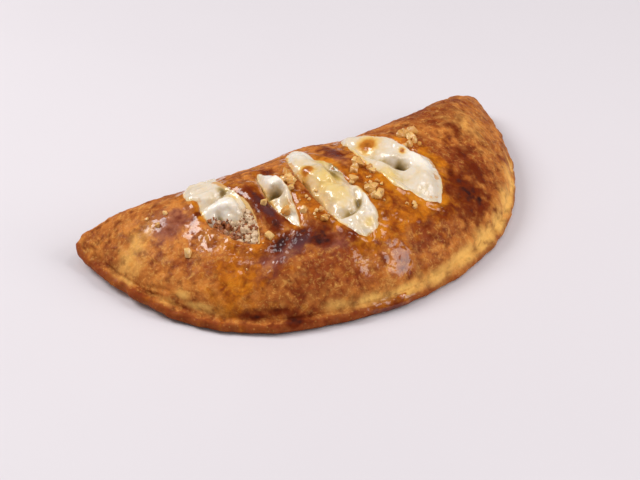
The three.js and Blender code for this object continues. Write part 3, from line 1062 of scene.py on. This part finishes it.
def make_blotch_group():
    """Soft-edged blotches: a mask from noise of a given grain, wider or narrower by its level."""
    tree, given, out = new_group(
        "blotches",
        {
            "Vector": ("NodeSocketVector", None),
            "Grain mm": ("NodeSocketFloat", 5.0),
            "Detail": ("NodeSocketFloat", 4.0),
            "Crispness": ("NodeSocketFloat", 0.5),
            "Streaks": ("NodeSocketFloat", 0.0),
            "Level": ("NodeSocketFloat", 0.5),
            "Softness": ("NodeSocketFloat", 0.1),
        },
        {"Mask": "NodeSocketFloat"},
    )
    noise = node(
        tree,
        "ShaderNodeTexNoise",
        Vector=given["Vector"],
        Scale=pattern_scale(tree, given["Grain mm"]),
        Detail=given["Detail"],
        Roughness=given["Crispness"],
        Distortion=given["Streaks"],
    )
    mask = climb_around(tree, noise.outputs["Fac"], given["Level"], given["Softness"])
    tree.links.new(mask, out["Mask"])
    return tree


def make_speck_group():
    """Small round specks: a cell of each grain holds one, if its draw is under the share."""
    tree, given, out = new_group(
        "specks",
        {
            "Vector": ("NodeSocketVector", None),
            "Grain mm": ("NodeSocketFloat", 2.0),
            "Share": ("NodeSocketFloat", 0.5),
            "Size": ("NodeSocketFloat", 0.35),
        },
        {"Mask": "NodeSocketFloat"},
    )
    scale = pattern_scale(tree, given["Grain mm"])
    cells = node(tree, "ShaderNodeTexVoronoi", Vector=given["Vector"], Scale=scale)
    speck = climb(tree, cells.outputs["Distance"], given["Size"], 0.0)
    draw = node(tree, "ShaderNodeSeparateColor", Color=cells.outputs["Color"])
    kept = node(tree, "ShaderNodeMath", {"operation": "LESS_THAN"}, _0=draw.outputs[0], _1=given["Share"])
    mask = node(tree, "ShaderNodeMath", {"operation": "MULTIPLY"}, _0=speck, _1=kept.outputs[0])
    tree.links.new(mask.outputs[0], out["Mask"])
    return tree


def make_spread_group():
    """A stored mark with its edge broken up by noise: 0 outside it, 1 well inside."""
    tree, given, out = new_group(
        "spread",
        {
            "Vector": ("NodeSocketVector", None),
            "Mark": ("NodeSocketFloat", 0.0),
            "Grain mm": ("NodeSocketFloat", 4.0),
            "Raggedness": ("NodeSocketFloat", 0.6),
            "Edge": ("NodeSocketFloat", 0.35),
            "Softness": ("NodeSocketFloat", 0.15),
        },
        {"Mask": "NodeSocketFloat"},
    )
    scale = pattern_scale(tree, given["Grain mm"])
    noise = node(tree, "ShaderNodeTexNoise", Vector=given["Vector"], Scale=scale, Detail=5.0)
    even = node(tree, "ShaderNodeMath", {"operation": "SUBTRACT"}, _0=noise.outputs["Fac"], _1=0.5)
    shifted = node(
        tree,
        "ShaderNodeMath",
        {"operation": "MULTIPLY_ADD"},
        _0=even.outputs[0],
        _1=given["Raggedness"],
        _2=given["Mark"],
    )
    mask = climb_around(tree, shifted.outputs[0], given["Edge"], given["Softness"])
    tree.links.new(mask, out["Mask"])
    return tree


def make_effects():
    """The effects that the finishes share, by name."""
    return {"blotches": make_blotch_group(), "specks": make_speck_group(), "spread": make_spread_group()}


class Finish:
    """A material being put together: its tree, its shader, and short ways to add to them."""

    def __init__(self, name, effects, **shader):
        self.effects = effects
        self.material = bpy.data.materials.new(name)
        self.material.use_nodes = True
        self.tree = self.material.node_tree
        self.shader = self.tree.nodes["Principled BSDF"]
        for label, value in shader.items():
            self.shader.inputs[label.replace("_", " ")].default_value = value
        self.vector = self.tree.nodes.new("ShaderNodeTexCoord").outputs["Object"]

    def add(self, kind, settings=None, **inputs):
        return node(self.tree, kind, settings, **inputs)

    def effect(self, name, **inputs):
        """One of the shared effects, as a mask."""
        made = self.add("ShaderNodeGroup", {"node_tree": self.effects[name]}, Vector=self.vector, **inputs)
        return made.outputs[0]

    def mark(self, name):
        """A number stored for each vertex."""
        return self.add("ShaderNodeAttribute", {"attribute_name": name}).outputs["Fac"]

    def where(self, name, grain, ragged, level, soft):
        """Where a mark is over a level, with a ragged edge."""
        return self.effect(
            "spread", Mark=self.mark(name), Grain_mm=grain, Raggedness=ragged, Edge=level, Softness=soft
        )

    def math(self, operation, a, b):
        return self.add("ShaderNodeMath", {"operation": operation, "use_clamp": True}, _0=a, _1=b).outputs[0]

    def blend(self, under, over, mask):
        """One colour laid over another where the mask is."""
        made = self.add("ShaderNodeMix", {"data_type": "RGBA", "blend_type": "MIX"}, _0=mask)
        for socket, value in ((made.inputs[6], under), (made.inputs[7], over)):
            if isinstance(value, bpy.types.NodeSocket):
                self.tree.links.new(value, socket)
            else:
                socket.default_value = (*value, 1)
        return made.outputs[2]

    def over(self, colour, coat, mask, strength):
        """A coat of colour laid on where the mask is, but never stronger than the strength."""
        return self.blend(colour, coat, self.math("MULTIPLY", mask, strength))

    def between(self, low, high, mask):
        """A number that goes from low to high with the mask."""
        return self.add("ShaderNodeMapRange", Value=mask, To_Min=low, To_Max=high).outputs[0]

    def noise(self, scale, detail, **more):
        """Plain noise from 0 to 1, so many to the metre."""
        made = self.add("ShaderNodeTexNoise", Vector=self.vector, Scale=scale, Detail=detail, **more)
        return made.outputs["Fac"]

    def feed(self, label, socket):
        self.tree.links.new(socket, self.shader.inputs[label])

    def bump(self, height, depth):
        """Fine relief, with its depth in millimetres."""
        made = self.add("ShaderNodeBump", Height=height, Distance=depth * MM, Strength=1.0)
        self.feed("Normal", made.outputs[0])


def dough_finish(effects):
    """Baked dough: mottled gold and brown, blistered, scorched in patches and glazed with honey, with a
    painted sheen on dark patches.
    """
    f = Finish("baked_dough", effects, Coat_Roughness=0.08, Coat_IOR=1.45, Specular_IOR_Level=0.05)
    gold, brown, deep = (0.63, 0.214, 0.040), (0.25, 0.044, 0.010), (0.13, 0.019, 0.004)
    light, cream = (0.84, 0.44, 0.11), (0.97, 0.55, 0.14)
    dusk_sheen, sheen_grey = (0.30, 0.098, 0.072), (0.13, 0.046, 0.048)
    dark_honey, honey, bright_honey = (0.25, 0.042, 0.002), (0.60, 0.17, 0.004), (0.76, 0.32, 0.02)
    amber = (0.67, 0.235, 0.008)
    scorch, char = (0.14, 0.016, 0.002), (0.026, 0.008, 0.008)
    crumb, underside = (0.80, 0.54, 0.22), (0.16, 0.045, 0.012)

    mottle = f.effect(
        "blotches", Grain_mm=13.0, Detail=9.0, Crispness=0.62, Streaks=0.8, Level=0.47, Softness=0.2
    )
    flakes = f.effect(
        "blotches", Grain_mm=3.2, Detail=8.0, Crispness=0.72, Streaks=1.0, Level=0.57, Softness=0.08
    )
    freckles = f.effect(
        "blotches", Grain_mm=5.0, Detail=8.0, Crispness=0.7, Streaks=0.3, Level=0.57, Softness=0.1
    )
    depths = f.effect(
        "blotches", Grain_mm=8.0, Detail=8.0, Crispness=0.6, Streaks=1.0, Level=0.5, Softness=0.14
    )
    blisters = f.effect("specks", Grain_mm=1.7, Share=0.35, Size=0.4)

    colour = f.blend(brown, gold, mottle)
    colour = f.over(colour, brown, f.where("browned", 5.0, 1.5, 0.42, 0.4), 0.9)
    colour = f.over(colour, light, flakes, 0.42)
    colour = f.over(colour, deep, freckles, 0.62)
    colour = f.over(colour, cream, f.where("pale", 8.0, 1.0, 0.45, 0.45), 0.9)
    colour = f.over(colour, brown, f.where("rim", 4.0, 1.2, 0.45, 0.3), 0.8)
    colour = f.over(colour, light, blisters, 0.38)
    # Painted sheen, partly: purple-brown whose pinkish tone stands in for reflected light.
    colour = f.over(colour, dusk_sheen, f.where("dusky_sheen", 5.0, 1.2, 0.5, 0.35), 0.72)
    film = f.blend(dark_honey, honey, depths)
    film = f.over(film, bright_honey, flakes, 0.3)
    film = f.over(film, deep, freckles, 0.45)
    colour = f.over(colour, film, f.where("honeyed", 6.0, 1.6, 0.38, 0.3), 0.85)
    colour = f.over(colour, amber, f.where("amber", 4.5, 2.2, 0.62, 0.5), 0.65)
    colour = f.over(colour, scorch, f.where("scorched", 5.0, 1.6, 0.38, 0.4), 0.94)
    colour = f.over(colour, char, f.where("scorched", 3.5, 1.2, 0.92, 0.25), 0.94)
    # Painted sheen: purplish grey over the dark patches, standing in for a bluish reflection.
    colour = f.over(colour, sheen_grey, f.where("painted_sheen", 3.5, 1.6, 0.5, 0.4), 0.65)
    colour = f.over(colour, crumb, f.where("crumb", 2.0, 0.4, 0.5, 0.2), 0.9)
    colour = f.blend(colour, underside, f.mark("under"))
    f.feed("Base Color", colour)
    wet = f.where("wet", 3.0, 0.9, 0.45, 0.15)
    f.feed("Coat Weight", f.between(0.03, 0.95, wet))
    f.feed("Roughness", f.between(0.6, 0.25, wet))
    grain = f.noise(420.0, 9.0, Roughness=0.65, Distortion=0.8)
    relief = f.math("ADD", f.math("MULTIPLY", grain, 0.8), f.math("MULTIPLY", blisters, 0.2))
    f.bump(f.math("MULTIPLY", relief, f.between(1.0, 0.5, wet)), 0.8)
    return f.material


def cheese_finish(effects):
    """Melted pale cheese, moist and soft in the light, tanned, browned and yellowed in places, with painted
    shade in its hollows and painted light on lobes that face away from the lights.
    """
    f = Finish(
        "melted_cheese",
        effects,
        Roughness=0.27,
        Subsurface_Weight=0.25,
        Subsurface_Radius=(1.0, 0.75, 0.5),
        Subsurface_Scale=1.5 * MM,
        Coat_Weight=0.6,
        Coat_Roughness=0.05,
    )
    off_white, creamy, lit_white = (0.75, 0.66, 0.56), (0.73, 0.61, 0.45), (0.94, 0.90, 0.84)
    shade, deepest_shade = (0.42, 0.29, 0.10), (0.085, 0.042, 0.007)
    honeyed, golden, toasted = (0.80, 0.53, 0.09), (0.84, 0.60, 0.20), (0.70, 0.28, 0.025)
    tan, fleck = (0.62, 0.28, 0.06), (0.55, 0.30, 0.10)
    caramels = (0.80, 0.46, 0.07), (0.56, 0.18, 0.010), (0.27, 0.060, 0.005)

    colour = f.blend(off_white, creamy, f.effect("blotches", Grain_mm=5.0, Level=0.55, Softness=0.15))
    # Painted light: lobes that face away from the lights are made whiter.
    colour = f.over(colour, lit_white, f.where("white_lit", 4.0, 0.5, 0.4, 0.4), 0.85)
    # Painted shade: the hollows and shaded folds are darkened to olive and near black.
    colour = f.over(colour, shade, f.where("hollow_shade", 3.0, 0.5, 0.4, 0.35), 0.8)
    colour = f.over(colour, deepest_shade, f.where("hollow_shade", 3.0, 0.3, 0.7, 0.3), 0.95)
    colour = f.over(colour, honeyed, f.where("yellow", 3.0, 0.7, 0.38, 0.6), 0.75)
    colour = f.over(colour, golden, f.where("thin", 2.5, 1.0, 0.55, 0.3), 0.7)
    colour = f.over(colour, toasted, f.where("thin", 2.5, 0.8, 0.88, 0.2), 0.85)
    colour = f.over(colour, tan, f.where("tanned", 2.2, 1.5, 0.55, 0.2), 0.75)
    colour = f.over(colour, caramels[0], f.where("caramel", 2.0, 0.5, 0.22, 0.3), 0.75)
    colour = f.over(colour, caramels[1], f.where("caramel", 1.5, 0.25, 0.5, 0.2), 0.95)
    colour = f.over(colour, caramels[2], f.where("caramel", 2.0, 0.8, 0.85, 0.3), 0.8)
    colour = f.over(colour, fleck, f.effect("specks", Grain_mm=3.5, Share=0.25, Size=0.2), 0.3)
    f.feed("Base Color", colour)
    f.bump(f.noise(450.0, 3.0), 0.15)
    return f.material


def mince_finish(effects):
    """Cooked minced meat with crumbs of cheese and browned bits, by each crumb's tone."""
    f = Finish(
        "minced_meat", effects, Roughness=0.4, Coat_Weight=0.35, Coat_Roughness=0.1, Specular_IOR_Level=0.2
    )
    red_brown, browned, crumb = (0.42, 0.14, 0.040), (0.16, 0.032, 0.009), (0.68, 0.48, 0.30)
    meat = f.blend(red_brown, browned, f.effect("blotches", Grain_mm=2.0, Level=0.5, Softness=0.15))
    f.feed("Base Color", f.blend(meat, crumb, f.where("tone", 3.0, 0.7, 0.5, 0.12)))
    f.bump(f.noise(1500.0, 4.0), 0.3)
    return f.material


def nut_finish(effects):
    """Chopped nuts: pale gold, each of its own tone, toasted in spots, with a thin coat of honey."""
    f = Finish(
        "chopped_nuts",
        effects,
        Roughness=0.4,
        Coat_Weight=0.5,
        Coat_Roughness=0.1,
        Subsurface_Weight=0.15,
        Subsurface_Scale=1.0 * MM,
    )
    pale, honeyed, toasted = (0.82, 0.52, 0.19), (0.62, 0.28, 0.05), (0.42, 0.15, 0.02)
    colour = f.blend(pale, honeyed, f.mark("tone"))
    colour = f.over(colour, toasted, f.effect("blotches", Grain_mm=2.2, Level=0.64, Softness=0.08), 0.7)
    f.feed("Base Color", colour)
    f.bump(f.noise(900.0, 4.0), 0.15)
    return f.material


def honey_finish(effects):
    """Glossy amber honey, darker where it is thick."""
    f = Finish("honey", effects, Roughness=0.12, Coat_Weight=1.0, Coat_Roughness=0.03, Coat_IOR=1.45)
    amber, dark_amber = (0.60, 0.19, 0.012), (0.40, 0.085, 0.004)
    thick = f.effect("blotches", Grain_mm=4.0, Level=0.5, Softness=0.2)
    f.feed("Base Color", f.blend(amber, dark_amber, thick))
    return f.material


def floor_finish(effects):
    """A matt pale floor."""
    f = Finish("pale_floor", effects, Roughness=0.6, Specular_IOR_Level=0.2)
    pale, duller = (0.70, 0.66, 0.69), (0.69, 0.65, 0.68)
    f.feed("Base Color", f.blend(pale, duller, f.effect("blotches", Grain_mm=300.0)))
    return f.material


# ------------------------------------------------------------------ putting it together


def finish_piece(piece, material, replaces=()):
    """Gives a piece its finish and its place on the calzone's one body."""
    piece.data.materials.clear()
    piece.data.materials.append(material)
    take(piece)
    bpy.ops.object.shade_smooth()
    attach(piece, "root")
    if replaces:
        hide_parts(*replaces)


def make_calzone(effects):
    """Every piece, each with its finish. Nuts and honey lie on the dough and the cheese."""
    dough = shape_dough()
    sculpt_dough(dough)
    mark_dough(dough)
    ground = Ground(dough)
    cheeses = [make_cheese(number, ground, cheese) for number, cheese in enumerate(CHEESES, 1)]
    mince = make_mince(ground)
    top = Ground(dough, *cheeses)
    nuts = make_nuts(top)
    honey = make_honey(top)
    finish_piece(dough, dough_finish(effects), ["crust"])
    cheese_look = cheese_finish(effects)
    for number, piece in enumerate(cheeses, 1):
        finish_piece(piece, cheese_look, [f"cheese_{number}"])
    finish_piece(mince, mince_finish(effects), ["filling"])
    finish_piece(nuts, nut_finish(effects))
    finish_piece(honey, honey_finish(effects))


def make_stage(effects):
    """A pale floor in an even room, lit from behind on the left, the front right and above.

    The room is dim in reflections, so that they come from the lights alone.
    """
    bpy.ops.object.select_all(action="DESELECT")
    bpy.ops.mesh.primitive_plane_add(size=6)
    floor = bpy.context.object
    floor.name = "floor"
    floor.data.materials.append(floor_finish(effects))
    world = bpy.data.worlds.new("studio")
    world.use_nodes = True
    tree = world.node_tree
    glossy = tree.nodes.new("ShaderNodeLightPath").outputs["Is Glossy Ray"]
    glow = node(tree, "ShaderNodeMapRange", Value=glossy, To_Min=0.36, To_Max=0.04)
    background = tree.nodes["Background"]
    background.inputs["Color"].default_value = (1.0, 0.99, 0.98, 1)
    tree.links.new(glow.outputs[0], background.inputs["Strength"])
    bpy.context.scene.world = world
    add_light("key", (-0.56, 0.58, 0.88), 0.5, 9.0)
    add_light("right_fill", (0.68, -0.78, 0.7), 0.7, 7.2)
    add_light("top", (0.42, -0.3, 1.2), 0.38, 2.6, (1, 0.94, 0.94))
    add_light("overhead", (-0.2, 0.08, 1.3), 0.25, 1.0, (1, 0.95, 0.97))


def add_light(name, place, size, power, colour=(1, 1, 1)):
    """A square soft light that shines at the calzone's middle. Its place and size are in metres."""
    bpy.ops.object.light_add(type="AREA", location=place)
    light = bpy.context.object
    light.name = name
    light.rotation_euler = (-Vector(place)).to_track_quat("-Z", "Y").to_euler()
    light.data.size = size
    light.data.color = colour
    light.data.energy = power


def make_camera():
    """Looks down on the calzone from the front left."""
    azimuth, elevation, distance = math.radians(-35), math.radians(35), 0.95
    aim = Vector((-13.5, 6.5, 0)) * MM
    back = Vector(
        (
            math.sin(azimuth) * math.cos(elevation),
            -math.cos(azimuth) * math.cos(elevation),
            math.sin(elevation),
        )
    )
    bpy.ops.object.camera_add(location=aim + back * distance)
    camera = bpy.context.object
    camera.rotation_euler = (-back).to_track_quat("-Z", "Y").to_euler()
    camera.data.lens = 110.6
    camera.data.sensor_width = 36
    bpy.context.scene.camera = camera


make_camera()
shared_effects = make_effects()
make_calzone(shared_effects)
make_stage(shared_effects)
bpy.context.scene.view_settings.view_transform = "Standard"
